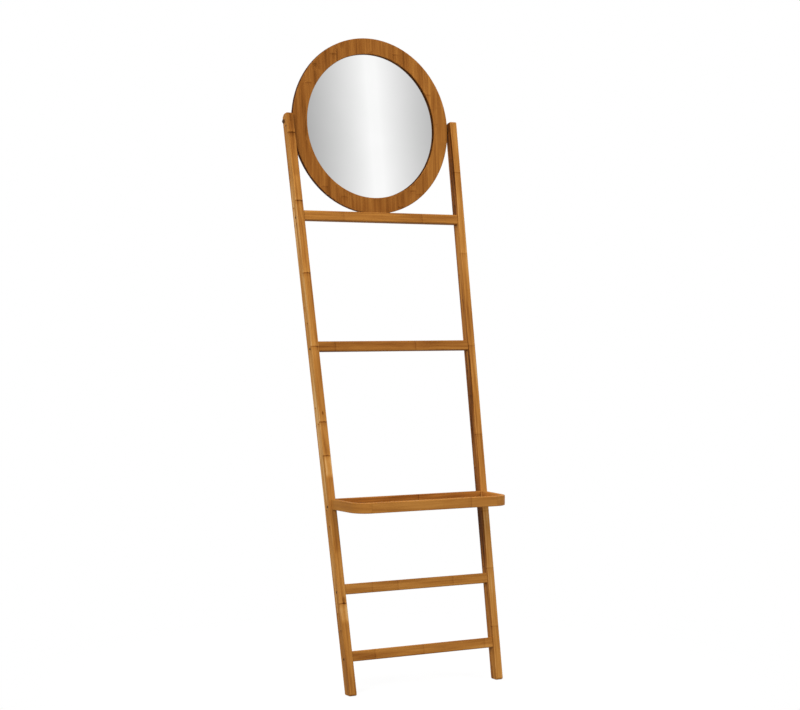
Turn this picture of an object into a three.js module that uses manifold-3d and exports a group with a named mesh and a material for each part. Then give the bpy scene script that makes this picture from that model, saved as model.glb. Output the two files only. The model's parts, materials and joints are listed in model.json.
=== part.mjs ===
// Leaning towel stand with a tilting round mirror, in bamboo.
//
// Two rails lean back and open towards the top. Four rungs and the back bar of a level tray join
// them, and a round framed mirror turns on two bolts between their upper ends. Millimetres, +Z up,
// front towards -Y, wall towards +Y. The origin lies on the floor, under the middle of the stand.

import * as THREE from 'three';
import { mergeVertices } from 'three/addons/utils/BufferGeometryUtils.js';
import Module from 'manifold-3d';

const wasm = await Module();
wasm.setup();

// Driving dimensions

const LEAN_DEG = 11.4;
const FIT_GAP = 0.3;

const RAIL_WIDTH = 21;
const RAIL_DEPTH = 27;
const RAIL_EDGE_RADIUS = 2.5;
const RAIL_FRONT_TOP_RADIUS = 3;
const RAIL_REAR_TOP_RADIUS = 16;
const FOOT_SPREAD = 452.5;
const FOOT_CORNER_RADIUS = 5;

const RUNG_HEIGHT = 26;
const RUNG_THICKNESS = 18;
const RUNG_SETBACK = 3;
const RUNG_EDGE_RADIUS = 3.5;
const TOWEL_RUNG_UP = 883;
const LOWER_RUNG_UP = 265;
const BOTTOM_RUNG_UP = 98;

const MIRROR_OPENING = 384;
const MIRROR_FRAME_WIDTH = 42.5;
const MIRROR_FRAME_THICKNESS = 12;
const MIRROR_EDGE_RADIUS = 2;
const MIRROR_RABBET_WIDTH = 8;
const MIRROR_LEAN_DEG = 4.8;
const MIRROR_RUNG_CLEARANCE = 4;
const GLASS_THICKNESS = 3;
const BACKING_THICKNESS = 3;
const BACKING_INSET = 0.7;

const PIVOT_UP = 1477.5;
const PIVOT_DEPTH = 19;
const RAIL_ABOVE_PIVOT = 19.5;
const PIVOT_SIDE_GAP = 2.3;
const PIVOT_BOLT_DIAMETER = 5;
const PIVOT_HEAD_DIAMETER = 11;
const PIVOT_HEAD_HEIGHT = 2.8;
const PIVOT_SOCKET_WIDTH = 4;
const PIVOT_SOCKET_DEPTH = 1.8;
const PIVOT_GRIP = 14;
const INSERT_DIAMETER = 7.6;
const WASHER_DIAMETER = 16;

const TRAY_UNDERSIDE = 456;
const TRAY_BOARD_HEIGHT = 26;
const TRAY_BOARD_THICKNESS = 11;
const TRAY_SIDE_INSET = 6.8;
const TRAY_SIDE_TAPER = 6;
const TRAY_DEPTH = 128;
const TRAY_CORNER_RADIUS = 42;
const TRAY_EDGE_RADIUS = 2;
const TRAY_HEEL_RADIUS = 6;
const TRAY_FLOOR_THICKNESS = 4;
const TRAY_FLOOR_UP = 8.5;
const TRAY_FIELD_CLEARANCE = 0.6;
const TRAY_TONGUE_THICKNESS = 2.5;
const TRAY_GROOVE_DEPTH = 3;
const TRAY_TENON_LENGTH = 10;
const TRAY_TENON_HEIGHT = 8;
const TRAY_TENON_THICKNESS = 4.5;
const TRAY_BAR_SETBACK = 1;
const TRAY_BAR_SCREW_UP = 6;

const SCREW_LENGTH = 52;
const SCREW_DIAMETER = 4;
const SCREW_HEAD_DIAMETER = 6.6;
const SCREW_HEAD_HEIGHT = 2.6;
const SCREW_CROSS_WIDTH = 4;
const SCREW_CROSS_SLOT = 1.1;
const SCREW_CROSS_DEPTH = 1.6;
const SCREW_RECESS = 0.6;
const SCREW_POINT = 5;
const SCREW_BELOW_MIDDLE = 6;

const DOWEL_DIAMETER = 6;
const DOWEL_LENGTH = 30;
const DOWEL_IN_RAIL = 10;
const DOWEL_ABOVE_MIDDLE = 5;

const ARC_STEPS = 3;
const EDGE_STEPS = 2;
const MIRROR_STEPS = 96;
const BORE_STEPS = 16;
const CUT_REACH = 40;

// Sizes that follow from them

const lean = THREE.MathUtils.degToRad(LEAN_DEG);
const mirrorLean = THREE.MathUtils.degToRad(MIRROR_LEAN_DEG);
const mirrorRadius = MIRROR_OPENING / 2 + MIRROR_FRAME_WIDTH;
const pivotHalfWidth = mirrorRadius + PIVOT_SIDE_GAP + RAIL_WIDTH;
const railSplay = (pivotHalfWidth - FOOT_SPREAD / 2) / PIVOT_UP;
const railLength = PIVOT_UP + RAIL_ABOVE_PIVOT;
const topRungUp = PIVOT_UP - mirrorRadius - MIRROR_RUNG_CLEARANCE - RUNG_HEIGHT / 2;
const rungMiddleDepth = RUNG_SETBACK + RUNG_THICKNESS / 2;
const trayTop = TRAY_UNDERSIDE + TRAY_BOARD_HEIGHT;
const trayMiddle = TRAY_UNDERSIDE + TRAY_BOARD_HEIGHT / 2;
const trayFront = trayMiddle * Math.tan(lean) - TRAY_DEPTH;
const grooveLow = TRAY_UNDERSIDE + TRAY_FLOOR_UP;
const grooveHigh = grooveLow + TRAY_TONGUE_THICKNESS;

// The tray's tenons and dowels lie halfway between the floor's groove and the boards' top edge.
const trayJointZ = (grooveHigh + trayTop) / 2;

const SIDES = [
  { name: 'left', sign: -1 },
  { name: 'right', sign: 1 },
];

const RUNGS = [
  { name: 'top', up: topRungUp },
  { name: 'towel', up: TOWEL_RUNG_UP },
  { name: 'lower', up: LOWER_RUNG_UP },
  { name: 'bottom', up: BOTTOM_RUNG_UP },
];

// Half the width of the ladder at a height along the rails, outside and between the rails.
const outerHalfWidth = (up) => FOOT_SPREAD / 2 + railSplay * up;
const innerHalfWidth = (up) => outerHalfWidth(up) - RAIL_WIDTH;

// A level point of the tray, as depth behind the rails' front faces and height along them.
const depthOf = (y, z) => y * Math.cos(lean) - z * Math.sin(lean);
const upOf = (y, z) => y * Math.sin(lean) + z * Math.cos(lean);

// The level distance of the rails' front faces at a height above the floor.
const railFrontAt = (z) => z * Math.tan(lean);

// Materials

const bamboo = new THREE.MeshStandardMaterial({ color: 0xa9682b, roughness: 0.5, metalness: 0 });
const bambooPanel = new THREE.MeshStandardMaterial({ color: 0x99602b, roughness: 0.55, metalness: 0 });
const beech = new THREE.MeshStandardMaterial({ color: 0xc9a06a, roughness: 0.7, metalness: 0 });
const darkSteel = new THREE.MeshStandardMaterial({ color: 0x4a4038, roughness: 0.4, metalness: 0.9 });
const brass = new THREE.MeshStandardMaterial({ color: 0xb5924c, roughness: 0.35, metalness: 1 });
const silvered = new THREE.MeshStandardMaterial({ color: 0xe6e8e8, roughness: 0.03, metalness: 1 });
const hardboard = new THREE.MeshStandardMaterial({ color: 0x6d4a2c, roughness: 0.85, metalness: 0 });

// Outlines and solids

// A closed outline from its corners in order, each rounded by its own radius.
function filletedShape(corners) {
  const shape = new THREE.Shape();
  const points = corners.map(([x, y]) => new THREE.Vector2(x, y));
  const count = corners.length;
  corners.forEach((corner, index) => {
    const point = points[index];
    const radius = corner[2] ?? 0;
    const back = points[(index + count - 1) % count].clone().sub(point).normalize();
    const ahead = points[(index + 1) % count].clone().sub(point).normalize();
    if (radius === 0) {
      if (index === 0) shape.moveTo(point.x, point.y);
      else shape.lineTo(point.x, point.y);
      return;
    }
    const halfAngle = Math.acos(THREE.MathUtils.clamp(back.dot(ahead), -1, 1)) / 2;
    const start = point.clone().addScaledVector(back, radius / Math.tan(halfAngle));
    const end = point.clone().addScaledVector(ahead, radius / Math.tan(halfAngle));
    const bisector = back.clone().add(ahead).normalize();
    const centre = point.clone().addScaledVector(bisector, radius / Math.sin(halfAngle));
    const clockwise = back.cross(ahead) > 0;
    if (index === 0) shape.moveTo(start.x, start.y);
    else shape.lineTo(start.x, start.y);
    const from = start.sub(centre).angle();
    const to = end.sub(centre).angle();
    shape.absarc(centre.x, centre.y, radius, from, to, clockwise);
  });
  shape.closePath();
  return shape;
}

// An outline drawn as depth and height, swept across the stand between two half widths.
function sweptAcross(shape, width, edgeRadius = 0) {
  const geometry = new THREE.ExtrudeGeometry(shape, {
    depth: width - 2 * edgeRadius,
    curveSegments: ARC_STEPS,
    bevelEnabled: edgeRadius > 0,
    bevelThickness: edgeRadius,
    bevelSize: edgeRadius,
    bevelOffset: -edgeRadius,
    bevelSegments: EDGE_STEPS,
  });
  geometry.translate(0, 0, edgeRadius - width / 2);
  const across = new THREE.Vector3(1, 0, 0);
  const deep = new THREE.Vector3(0, 1, 0);
  const up = new THREE.Vector3(0, 0, 1);
  geometry.applyMatrix4(new THREE.Matrix4().makeBasis(deep, up, across));
  return geometry;
}

// An outline drawn in plan, raised between two heights.
function raised(shape, low, high, edgeRadius = 0) {
  const geometry = new THREE.ExtrudeGeometry(shape, {
    depth: high - low - 2 * edgeRadius,
    curveSegments: ARC_STEPS,
    bevelEnabled: edgeRadius > 0,
    bevelThickness: edgeRadius,
    bevelSize: edgeRadius,
    bevelOffset: -edgeRadius,
    bevelSegments: EDGE_STEPS,
  });
  geometry.translate(0, 0, low + edgeRadius);
  return geometry;
}

// A turned piece on the X axis from a profile of [distance along X, radius] points.
function turned(profile, steps = BORE_STEPS) {
  const points = profile.map(([along, radius]) => new THREE.Vector2(radius, along));
  const geometry = new THREE.LatheGeometry(points, steps);
  geometry.rotateZ(-Math.PI / 2);
  return geometry;
}

// A plain round bar on the X axis between two places on it.
function roundBar(diameter, from, to) {
  const geometry = new THREE.CylinderGeometry(diameter / 2, diameter / 2, to - from, BORE_STEPS);
  geometry.rotateZ(-Math.PI / 2);
  geometry.translate((from + to) / 2, 0, 0);
  return geometry;
}

function toSolid(geometry) {
  const bare = geometry.clone();
  bare.deleteAttribute('normal');
  bare.deleteAttribute('uv');
  const welded = mergeVertices(bare, 1e-4);
  return new wasm.Manifold(new wasm.Mesh({
    numProp: 3,
    vertProperties: Float32Array.from(welded.attributes.position.array),
    triVerts: Uint32Array.from(welded.index.array),
  }));
}

function toGeometry(solid) {
  const mesh = solid.getMesh();
  const geometry = new THREE.BufferGeometry();
  geometry.setAttribute('position', new THREE.BufferAttribute(mesh.vertProperties, 3));
  geometry.setIndex(new THREE.BufferAttribute(mesh.triVerts, 1));
  return geometry;
}

function cut(geometry, cutters) {
  const body = cutters.reduce((solid, cutter) => solid.subtract(toSolid(cutter)), toSolid(geometry));
  return toGeometry(body);
}

function common(first, second) {
  return toGeometry(toSolid(first).intersect(toSolid(second)));
}

function joined(first, second) {
  return toGeometry(toSolid(first).add(toSolid(second)));
}

function piece(name, geometry, material) {
  const shaded = geometry.index ? geometry.toNonIndexed() : geometry;
  shaded.computeVertexNormals();
  const mesh = new THREE.Mesh(shaded, material);
  mesh.name = name;
  return mesh;
}

// Fasteners

// A countersunk screw whose head lies at the origin and whose point lies towards -X. The bore that
// takes it is the same profile, grown by the fit gap and run out past the head.
function screwProfile(grow) {
  const head = SCREW_HEAD_DIAMETER / 2 + grow;
  const shank = SCREW_DIAMETER / 2 + grow;
  const point = -SCREW_LENGTH - grow;
  return [
    [point, 0],
    [point + SCREW_POINT, shank],
    [-SCREW_HEAD_HEIGHT, shank],
    [0, head],
    [grow > 0 ? CUT_REACH : 0, grow > 0 ? head : 0],
    [grow > 0 ? CUT_REACH : 0, 0],
  ];
}

// Its head has a cross recess.
function screwGeometry() {
  const depth = 2 * SCREW_CROSS_DEPTH;
  return cut(turned(screwProfile(0).slice(0, -1)), [
    new THREE.BoxGeometry(depth, SCREW_CROSS_WIDTH, SCREW_CROSS_SLOT),
    new THREE.BoxGeometry(depth, SCREW_CROSS_SLOT, SCREW_CROSS_WIDTH),
  ]);
}

// Where the heads of the screws through the rails lie, as X at a height along the rail.
const screwHeadAt = (up) => outerHalfWidth(up) - SCREW_RECESS;

// Turns a piece drawn for the right side to the side that it is on, and moves it to its place.
function toSide(geometry, sign, x, depth, up) {
  const placed = geometry.clone();
  if (sign < 0) placed.rotateZ(Math.PI);
  placed.translate(sign * x, depth, up);
  return placed;
}

const screwBore = (side, depth, up) =>
  toSide(turned(screwProfile(FIT_GAP)), side.sign, screwHeadAt(up), depth, up);

// A dowel crosses from the rung into the rail, with its middle past the joint by this much.
const dowelOuterEnd = (up) => innerHalfWidth(up) + DOWEL_IN_RAIL;

function dowelBar(up, grow) {
  const outer = dowelOuterEnd(up) + grow;
  return roundBar(DOWEL_DIAMETER + 2 * grow, outer - DOWEL_LENGTH - 2 * grow, outer);
}

function rungDowel(side, up, grow) {
  const dowelUp = up + DOWEL_ABOVE_MIDDLE;
  return toSide(dowelBar(dowelUp, grow), side.sign, 0, rungMiddleDepth, dowelUp);
}

const rungScrewBore = (side, up) => screwBore(side, rungMiddleDepth, up - SCREW_BELOW_MIDDLE);

function rungScrew(side, up) {
  const screwUp = up - SCREW_BELOW_MIDDLE;
  return toSide(screwGeometry(), side.sign, screwHeadAt(screwUp), rungMiddleDepth, screwUp);
}

// The back bar of the tray is level, so its screws are placed by their level position.
const barFront = railFrontAt(trayTop) + TRAY_BAR_SETBACK;
const barMiddle = barFront + TRAY_BOARD_THICKNESS / 2;
const barScrewZ = TRAY_UNDERSIDE + TRAY_BAR_SCREW_UP;
const barScrewDepth = depthOf(barMiddle, barScrewZ);
const barScrewUp = upOf(barMiddle, barScrewZ);

// The side boards of the tray are pegged to the rails' front faces by level dowels.
const trayRearHalfWidth = outerHalfWidth(trayMiddle / Math.cos(lean)) - TRAY_SIDE_INSET;
const pegX = trayRearHalfWidth - TRAY_BOARD_THICKNESS / 2;
const pegEnd = railFrontAt(trayJointZ) + DOWEL_IN_RAIL;

function pegBar(sign, grow) {
  const bar = roundBar(DOWEL_DIAMETER + 2 * grow, -DOWEL_LENGTH - grow, grow);
  bar.rotateZ(Math.PI / 2);
  bar.translate(sign * pegX, pegEnd, trayJointZ);
  return bar;
}

// Ladder: rails and rungs, drawn upright and leaned back as a group

function railGeometry(side) {
  const profile = filletedShape([
    [0, 0, FOOT_CORNER_RADIUS],
    [RAIL_DEPTH, RAIL_DEPTH * Math.tan(lean), FOOT_CORNER_RADIUS],
    [RAIL_DEPTH, railLength, RAIL_REAR_TOP_RADIUS],
    [0, railLength, RAIL_FRONT_TOP_RADIUS],
  ]);
  const geometry = sweptAcross(profile, RAIL_WIDTH, RAIL_EDGE_RADIUS);
  geometry.translate(side.sign * (FOOT_SPREAD - RAIL_WIDTH) / 2, 0, 0);
  const splay = new THREE.Matrix4().makeShear(0, 0, 0, 0, side.sign * railSplay, 0);
  geometry.applyMatrix4(splay);
  const level = pegBar(side.sign, FIT_GAP);
  level.rotateX(lean);
  const pivotBore = roundBar(PIVOT_BOLT_DIAMETER + 2 * FIT_GAP, -CUT_REACH, CUT_REACH);
  return cut(geometry, [
    ...RUNGS.map(({ up }) => rungScrewBore(side, up)),
    ...RUNGS.map(({ up }) => rungDowel(side, up, FIT_GAP)),
    screwBore(side, barScrewDepth, barScrewUp),
    toSide(pivotBore, side.sign, pivotHalfWidth, PIVOT_DEPTH, PIVOT_UP),
    level,
  ]);
}

// The rung's ends follow the slant of the rails' inner faces.
function rungGeometry(up) {
  const low = up - RUNG_HEIGHT / 2;
  const high = up + RUNG_HEIGHT / 2;
  const back = RUNG_SETBACK + RUNG_THICKNESS;
  const section = filletedShape([
    [RUNG_SETBACK, low, RUNG_EDGE_RADIUS],
    [back, low, RUNG_EDGE_RADIUS],
    [back, high, RUNG_EDGE_RADIUS],
    [RUNG_SETBACK, high, RUNG_EDGE_RADIUS],
  ]);
  const geometry = endsBetweenRails(sweptAcross(section, 2));
  return cut(geometry, SIDES.flatMap((side) => [
    rungScrewBore(side, up),
    rungDowel(side, up, FIT_GAP),
  ]));
}

// Moves the end faces of a bar, drawn from -1 to 1 across, out to the rails' inner faces.
function endsBetweenRails(geometry, upAt = (depth, up) => up) {
  const position = geometry.attributes.position;
  for (let i = 0; i < position.count; i += 1) {
    const up = upAt(position.getY(i), position.getZ(i));
    position.setX(i, Math.sign(position.getX(i)) * (innerHalfWidth(up) - FIT_GAP));
  }
  return geometry;
}

function makeLadder() {
  const ladder = new THREE.Group();
  ladder.rotation.x = -lean;
  SIDES.forEach((side) => {
    ladder.add(piece(`rail_${side.name}`, railGeometry(side), bamboo));
  });
  RUNGS.forEach(({ name, up }) => {
    ladder.add(piece(`rung_${name}`, rungGeometry(up), bamboo));
    SIDES.forEach((side) => {
      ladder.add(piece(`rung_${name}_screw_${side.name}`, rungScrew(side, up), darkSteel));
      ladder.add(piece(`rung_${name}_dowel_${side.name}`, rungDowel(side, up, 0), beech));
    });
  });
  return ladder;
}

// Tray: side boards that turn the front corners, a front board tenoned between them, a back bar
// between the rails and a floor in grooves

const rearBeyond = railFrontAt(trayTop) + CUT_REACH;
const sideSlope = TRAY_SIDE_TAPER / TRAY_DEPTH;
const trayFrontHalfWidth = trayRearHalfWidth - TRAY_SIDE_TAPER;

// Half the width between the outer faces of the side boards, at a level distance from the front.
const trayHalfWidth = (y) => trayFrontHalfWidth + sideSlope * (y - trayFront);
const boardAcross = TRAY_BOARD_THICKNESS * Math.hypot(1, sideSlope);
const innerCornerRadius = TRAY_CORNER_RADIUS - TRAY_BOARD_THICKNESS;

// The front board ends where the corners begin to turn.
const cornerRun = TRAY_CORNER_RADIUS * Math.tan(Math.PI / 4 - Math.atan(sideSlope) / 2);
const frontJoint = trayFrontHalfWidth - cornerRun;

function rimGeometry() {
  const innerFront = trayFront + TRAY_BOARD_THICKNESS;
  const outerFar = trayHalfWidth(rearBeyond);
  const innerFar = outerFar - boardAcross;
  const innerNear = trayHalfWidth(innerFront) - boardAcross;
  const plan = filletedShape([
    [-trayFrontHalfWidth, trayFront, TRAY_CORNER_RADIUS],
    [trayFrontHalfWidth, trayFront, TRAY_CORNER_RADIUS],
    [outerFar, rearBeyond],
    [innerFar, rearBeyond],
    [innerNear, innerFront, innerCornerRadius],
    [-innerNear, innerFront, innerCornerRadius],
    [-innerFar, rearBeyond],
    [-outerFar, rearBeyond],
  ]);
  const rim = raised(plan, TRAY_UNDERSIDE, trayTop, TRAY_EDGE_RADIUS);
  const beyond = trayFront - CUT_REACH;
  const seat = FIT_GAP / Math.cos(lean);
  const profile = filletedShape([
    [beyond, TRAY_UNDERSIDE],
    [railFrontAt(TRAY_UNDERSIDE) - seat, TRAY_UNDERSIDE, TRAY_HEEL_RADIUS],
    [railFrontAt(trayTop) - seat, trayTop, TRAY_EDGE_RADIUS],
    [beyond, trayTop],
  ]);
  const heeled = common(rim, sweptAcross(profile, 2 * (trayRearHalfWidth + CUT_REACH)));
  const pegBores = SIDES.map(({ sign }) => pegBar(sign, FIT_GAP));
  return cut(heeled, [floorTongue(FIT_GAP), ...pegBores]);
}

// The floor's outline, past the inner faces of the boards and of the back bar by its reach. Between
// the rails it is narrower.
function floorPlan(reach) {
  const near = trayFront + TRAY_BOARD_THICKNESS - reach;
  const far = barFront + reach;
  const intoSide = reach - boardAcross;
  const waist = railFrontAt(grooveLow) - FIT_GAP;
  const neck = innerHalfWidth(upOf(waist, grooveLow)) - FIT_GAP - TRAY_EDGE_RADIUS;
  const shoulder = waist - TRAY_EDGE_RADIUS;
  const corner = innerCornerRadius + reach;
  return filletedShape([
    [-trayHalfWidth(near) - intoSide, near, corner],
    [trayHalfWidth(near) + intoSide, near, corner],
    [trayHalfWidth(shoulder) + intoSide, shoulder],
    [neck, shoulder],
    [neck, far],
    [-neck, far],
    [-neck, shoulder],
    [-trayHalfWidth(shoulder) - intoSide, shoulder],
  ]);
}

// The floor's thin rim, which reaches into the grooves of the boards and of the back bar.
function floorTongue(grow) {
  const plan = floorPlan(TRAY_GROOVE_DEPTH + grow);
  return raised(plan, grooveLow - grow, grooveHigh + grow);
}

// The floor's full thickness stays clear of the boards.
function floorGeometry() {
  const field = raised(floorPlan(-TRAY_FIELD_CLEARANCE), grooveLow, grooveLow + TRAY_FLOOR_THICKNESS);
  return joined(floorTongue(0), field);
}

// A block across the middle of the tray, wide enough to part the front board from the corners.
function middleBlock(halfWidth) {
  const block = new THREE.BoxGeometry(2 * halfWidth, 2 * TRAY_DEPTH, 4 * TRAY_BOARD_HEIGHT);
  block.translate(0, trayFront, trayMiddle);
  return block;
}

// The tenons at both ends of the front board, as one bar through it.
function tenonBar(grow) {
  const halfWidth = frontJoint + TRAY_TENON_LENGTH + grow;
  const thickness = TRAY_TENON_THICKNESS + 2 * grow;
  const bar = new THREE.BoxGeometry(2 * halfWidth, thickness, TRAY_TENON_HEIGHT + 2 * grow);
  bar.translate(0, trayFront + TRAY_BOARD_THICKNESS / 2, trayJointZ);
  return bar;
}

function sideRegion(sign) {
  const width = trayRearHalfWidth + CUT_REACH;
  const region = new THREE.BoxGeometry(width, 4 * TRAY_DEPTH, 2 * trayTop);
  region.translate(sign * width / 2, trayFront, trayTop);
  return region;
}

function barGeometry() {
  const back = barFront + TRAY_BOARD_THICKNESS;
  const section = filletedShape([
    [barFront, TRAY_UNDERSIDE, TRAY_EDGE_RADIUS],
    [back, TRAY_UNDERSIDE, TRAY_EDGE_RADIUS],
    [back, trayTop, TRAY_EDGE_RADIUS],
    [barFront, trayTop, TRAY_EDGE_RADIUS],
  ]);
  const bar = endsBetweenRails(sweptAcross(section, 2), upOf);
  const bores = SIDES.map((side) => {
    const bore = screwBore(side, barScrewDepth, barScrewUp);
    bore.rotateX(-lean);
    return bore;
  });
  return cut(bar, [floorTongue(FIT_GAP), ...bores]);
}

function makeTray() {
  const tray = new THREE.Group();
  const rim = rimGeometry();
  const front = joined(common(rim, middleBlock(frontJoint - FIT_GAP)), tenonBar(0));
  const sides = cut(rim, [middleBlock(frontJoint), tenonBar(FIT_GAP)]);
  tray.add(piece('tray_front_board', front, bamboo));
  tray.add(piece('tray_back_bar', barGeometry(), bamboo));
  tray.add(piece('tray_floor', floorGeometry(), bambooPanel));
  SIDES.forEach((side) => {
    const board = common(sides, sideRegion(side.sign));
    tray.add(piece(`tray_side_board_${side.name}`, board, bamboo));
    tray.add(piece(`tray_side_dowel_${side.name}`, pegBar(side.sign, 0), beech));
    const head = screwHeadAt(barScrewUp);
    const screw = toSide(screwGeometry(), side.sign, head, barScrewDepth, barScrewUp);
    screw.rotateX(-lean);
    tray.add(piece(`tray_bar_screw_${side.name}`, screw, darkSteel));
  });
  return tray;
}

// Mirror: a turned bamboo frame with glass and backing in its rabbet, on two pivot bolts

const rabbetRadius = MIRROR_OPENING / 2 + MIRROR_RABBET_WIDTH;
const frameFront = -MIRROR_FRAME_THICKNESS / 2;
const frameRear = MIRROR_FRAME_THICKNESS / 2;
const backingRear = frameRear - BACKING_INSET;
const backingFront = backingRear - BACKING_THICKNESS;
const glassRear = backingFront - FIT_GAP;
const glassFront = glassRear - GLASS_THICKNESS;
const lipRear = glassFront - FIT_GAP;

// Points of a quarter round edge, for a profile of [distance along the axis, radius].
function roundedEdge(along, radius, size, from, to) {
  return Array.from({ length: EDGE_STEPS + 1 }, (_, step) => {
    const angle = THREE.MathUtils.degToRad(from + ((to - from) * step) / EDGE_STEPS);
    return [along + size * Math.cos(angle), radius + size * Math.sin(angle)];
  });
}

// A piece turned about the mirror's own axis, which runs from front (-Y) to rear (+Y).
function turnedDisc(profile) {
  const geometry = turned(profile, MIRROR_STEPS);
  geometry.rotateZ(Math.PI / 2);
  return geometry;
}

function frameGeometry() {
  const inner = MIRROR_OPENING / 2;
  const edge = MIRROR_EDGE_RADIUS;
  const profile = [
    ...roundedEdge(frameFront + edge, inner + edge, edge, 270, 180),
    ...roundedEdge(frameFront + edge, mirrorRadius - edge, edge, 180, 90),
    ...roundedEdge(frameRear - edge, mirrorRadius - edge, edge, 90, 0),
    [frameRear, rabbetRadius],
    [lipRear, rabbetRadius],
    [lipRear, inner],
  ];
  const ring = turnedDisc([...profile, profile[0]]);
  const bores = SIDES.map(({ sign }) => {
    const bore = roundBar(INSERT_DIAMETER + 2 * FIT_GAP, insertEnd - FIT_GAP, mirrorRadius + CUT_REACH);
    return toSide(bore, sign, 0, 0, 0);
  });
  return cut(ring, bores);
}

function discGeometry(front, rear) {
  const radius = rabbetRadius - FIT_GAP;
  return turnedDisc([[rear, 0], [rear, radius], [front, radius], [front, 0]].reverse());
}

// The bolt runs through the rail and a washer into a threaded insert in the frame's edge.
const railOuterAtPivot = pivotHalfWidth;
const insertOuter = mirrorRadius - FIT_GAP;
const insertEnd = insertOuter - PIVOT_GRIP;
const headSeat = railOuterAtPivot + FIT_GAP;

// Its domed head has a hexagon socket.
function pivotBolt() {
  const shank = PIVOT_BOLT_DIAMETER / 2;
  const head = PIVOT_HEAD_DIAMETER / 2;
  const crown = PIVOT_HEAD_HEIGHT / 2;
  const top = headSeat + PIVOT_HEAD_HEIGHT;
  const bolt = turned([
    [insertEnd + FIT_GAP, 0],
    [insertEnd + FIT_GAP, shank],
    [headSeat, shank],
    [headSeat, head],
    [headSeat + crown, head],
    [top, head - crown],
    [top, 0],
  ]);
  const corner = PIVOT_SOCKET_WIDTH / Math.sqrt(3);
  const socket = new THREE.CylinderGeometry(corner, corner, 2 * PIVOT_SOCKET_DEPTH, 6);
  socket.rotateZ(-Math.PI / 2);
  socket.translate(top, 0, 0);
  return cut(bolt, [socket]);
}

// A plain ring round the X axis, such as a washer or a threaded insert.
function collar(outerDiameter, innerDiameter, from, to) {
  const outer = outerDiameter / 2;
  const inner = innerDiameter / 2;
  return turned([[from, inner], [from, outer], [to, outer], [to, inner], [from, inner]]);
}

function makeMirror() {
  const hinge = new THREE.Group();
  hinge.position.set(
    0,
    PIVOT_DEPTH * Math.cos(lean) + PIVOT_UP * Math.sin(lean),
    PIVOT_UP * Math.cos(lean) - PIVOT_DEPTH * Math.sin(lean),
  );
  const mirror = new THREE.Group();
  mirror.rotation.x = -mirrorLean;
  mirror.add(piece('mirror_frame', frameGeometry(), bambooPanel));
  mirror.add(piece('mirror_glass', discGeometry(glassFront, glassRear), silvered));
  mirror.add(piece('mirror_backing', discGeometry(backingFront, backingRear), hardboard));
  const boltBore = PIVOT_BOLT_DIAMETER + 2 * FIT_GAP;
  const washerFrom = mirrorRadius + FIT_GAP;
  const washerTo = mirrorRadius + PIVOT_SIDE_GAP - 2 * FIT_GAP;
  SIDES.forEach(({ name, sign }) => {
    const insert = toSide(collar(INSERT_DIAMETER, boltBore, insertEnd, insertOuter), sign, 0, 0, 0);
    const washer = toSide(collar(WASHER_DIAMETER, boltBore, washerFrom, washerTo), sign, 0, 0, 0);
    const bolt = toSide(pivotBolt(), sign, 0, 0, 0);
    mirror.add(piece(`pivot_insert_${name}`, insert, brass));
    mirror.add(piece(`pivot_bolt_${name}`, bolt, darkSteel));
    hinge.add(piece(`pivot_washer_${name}`, washer, darkSteel));
  });
  hinge.add(mirror);
  return hinge;
}

// Assembly, moved so that the origin lies under the middle of the whole stand

const stand = new THREE.Group();
stand.add(makeLadder(), makeTray(), makeMirror());
stand.updateMatrixWorld(true);
const extent = new THREE.Box3().setFromObject(stand, true);
stand.position.y = -(extent.min.y + extent.max.y) / 2;
stand.updateMatrixWorld(true);

export default stand;
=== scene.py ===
"""Looks of the leaning ladder stand with a tilting round mirror, built round its CAD frame.

Metres, +Z up, front towards -Y. Every wooden piece is a smoothed copy of its CAD node in lacquered
bamboo, with its grain, strips and culm nodes laid along the piece. A tone of 0 is the bamboo's
middle colour, and a positive one is paler.
"""

import json
import math
import bmesh
import bpy
from mathutils import Matrix, Vector

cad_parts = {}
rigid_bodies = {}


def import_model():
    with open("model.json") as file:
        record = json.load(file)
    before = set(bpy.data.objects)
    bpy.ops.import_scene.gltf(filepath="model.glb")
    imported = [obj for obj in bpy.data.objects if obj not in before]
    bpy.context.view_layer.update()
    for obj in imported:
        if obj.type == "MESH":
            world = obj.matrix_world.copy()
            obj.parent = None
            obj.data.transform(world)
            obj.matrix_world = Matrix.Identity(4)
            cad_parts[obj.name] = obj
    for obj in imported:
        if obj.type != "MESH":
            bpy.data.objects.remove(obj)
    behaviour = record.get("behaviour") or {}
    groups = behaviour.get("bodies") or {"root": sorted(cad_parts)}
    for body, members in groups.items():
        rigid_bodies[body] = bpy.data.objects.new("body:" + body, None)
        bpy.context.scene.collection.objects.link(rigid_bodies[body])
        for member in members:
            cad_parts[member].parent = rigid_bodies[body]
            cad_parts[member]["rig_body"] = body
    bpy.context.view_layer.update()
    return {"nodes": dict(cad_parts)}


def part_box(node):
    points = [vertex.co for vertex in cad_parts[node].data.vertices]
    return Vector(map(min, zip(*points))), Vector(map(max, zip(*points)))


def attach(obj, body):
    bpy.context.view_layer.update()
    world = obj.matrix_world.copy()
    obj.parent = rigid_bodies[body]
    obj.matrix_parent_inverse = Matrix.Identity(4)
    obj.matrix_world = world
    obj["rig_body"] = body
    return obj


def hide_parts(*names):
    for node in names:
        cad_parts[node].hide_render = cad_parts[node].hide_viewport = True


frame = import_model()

MM = 0.001

# The photograph's camera
IMAGE_WIDTH = 800
FOCAL_PIXELS = 1902.9
CAMERA_YAW = math.radians(29.96)
CAMERA_PITCH = math.radians(1.59)
CAMERA_ROLL = math.radians(0.22)
CAMERA_DISTANCE = 4.759
CAMERA_TARGET = (-0.087, -0.1513, 0.8457)

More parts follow.
